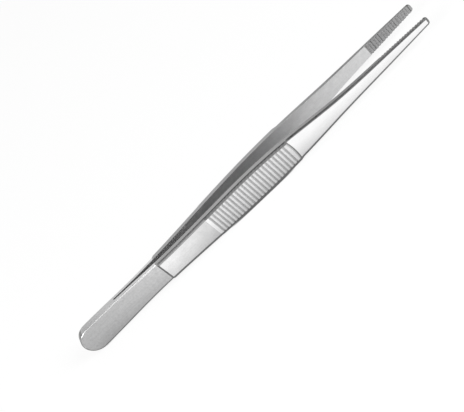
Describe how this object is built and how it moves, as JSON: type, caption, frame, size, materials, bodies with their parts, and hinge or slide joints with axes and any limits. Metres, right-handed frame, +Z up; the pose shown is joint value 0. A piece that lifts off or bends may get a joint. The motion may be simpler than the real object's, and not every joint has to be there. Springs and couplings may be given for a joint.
{
  "type": "thumb forceps",
  "caption": "Spring forceps of two blades joined at a round butt, with cross-ribbed finger grips and slim serrated jaw tips.",
  "frame": {"origin": "middle of the length and of the opening, on the surface that the lower side edges lie on", "axes": "+X from the butt to the jaw tips, Y across the opening between the blades, +Z up over the width of the blades"},
  "size_m": [0.145, 0.0124, 0.0105],
  "materials": {
    "steel": "satin leaves, polished pads and shanks"
  },
  "bodies": {
    "root": {"front_blade": "steel", "rear_blade": "steel"}
  },
  "joints": []
}
